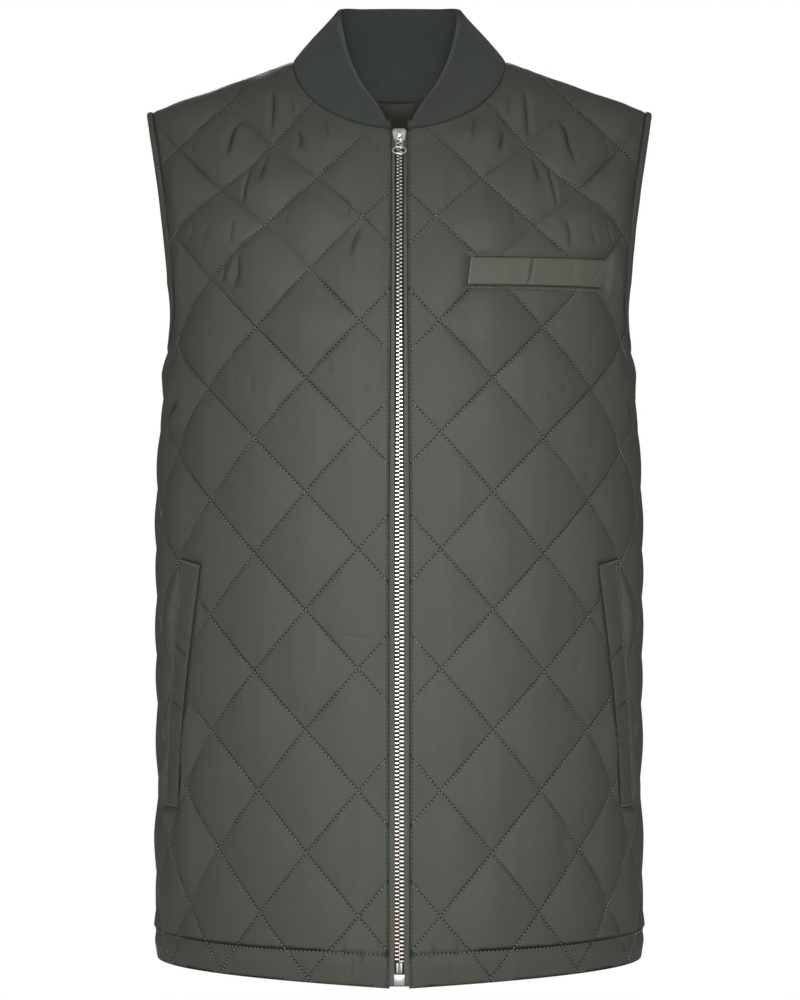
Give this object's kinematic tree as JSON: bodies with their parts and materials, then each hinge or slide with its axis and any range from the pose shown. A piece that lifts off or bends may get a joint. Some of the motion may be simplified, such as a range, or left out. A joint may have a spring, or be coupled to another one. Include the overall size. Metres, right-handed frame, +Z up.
{
  "type": "quilted gilet",
  "caption": "Sleeveless diamond-quilted gilet with a rib-knit collar, closed metal front zip, welt pockets and a turned-up hem, filled out and hollow as worn.",
  "frame": {"origin": "between the shoulders, level with the two points where the shoulder seams meet the neck, where a wearer's shoulders carry the garment", "axes": "+Z up, the front faces -Y, the wearer's left is +X"},
  "size_m": [0.3924, 0.2838, 0.7506],
  "materials": {
    "shell": "smooth woven nylon shell, dark grey-green, soft satin sheen, light padding",
    "knit": "matte fine rib knit, dark grey-green",
    "tape": "matte woven zip tape",
    "zip_metal": "polished silver-coloured metal, slightly warm"
  },
  "bodies": {
    "gilet": {"front_left": "shell", "front_right": "shell", "back": "shell", "collar": "knit", "armhole_edge_left": "shell", "armhole_edge_right": "shell", "chest_welt": "shell", "side_welt_left": "shell", "side_welt_right": "shell", "zip_tape_left": "tape", "zip_tape_right": "tape", "zip_chain": "zip_metal", "zip_slider": "zip_metal", "zip_box": "zip_metal", "zip_pin_left": "zip_metal", "zip_pin_right": "zip_metal"},
    "pull_tab": {"zip_pull": "zip_metal"}
  },
  "joints": [
    {"name": "pull_swing", "type": "hinge", "parent": "gilet", "child": "pull_tab", "pos_m": [0, -0.10014, -0.06598], "axis": [-1, 0, 0], "range_deg": [0, 150]}
  ]
}
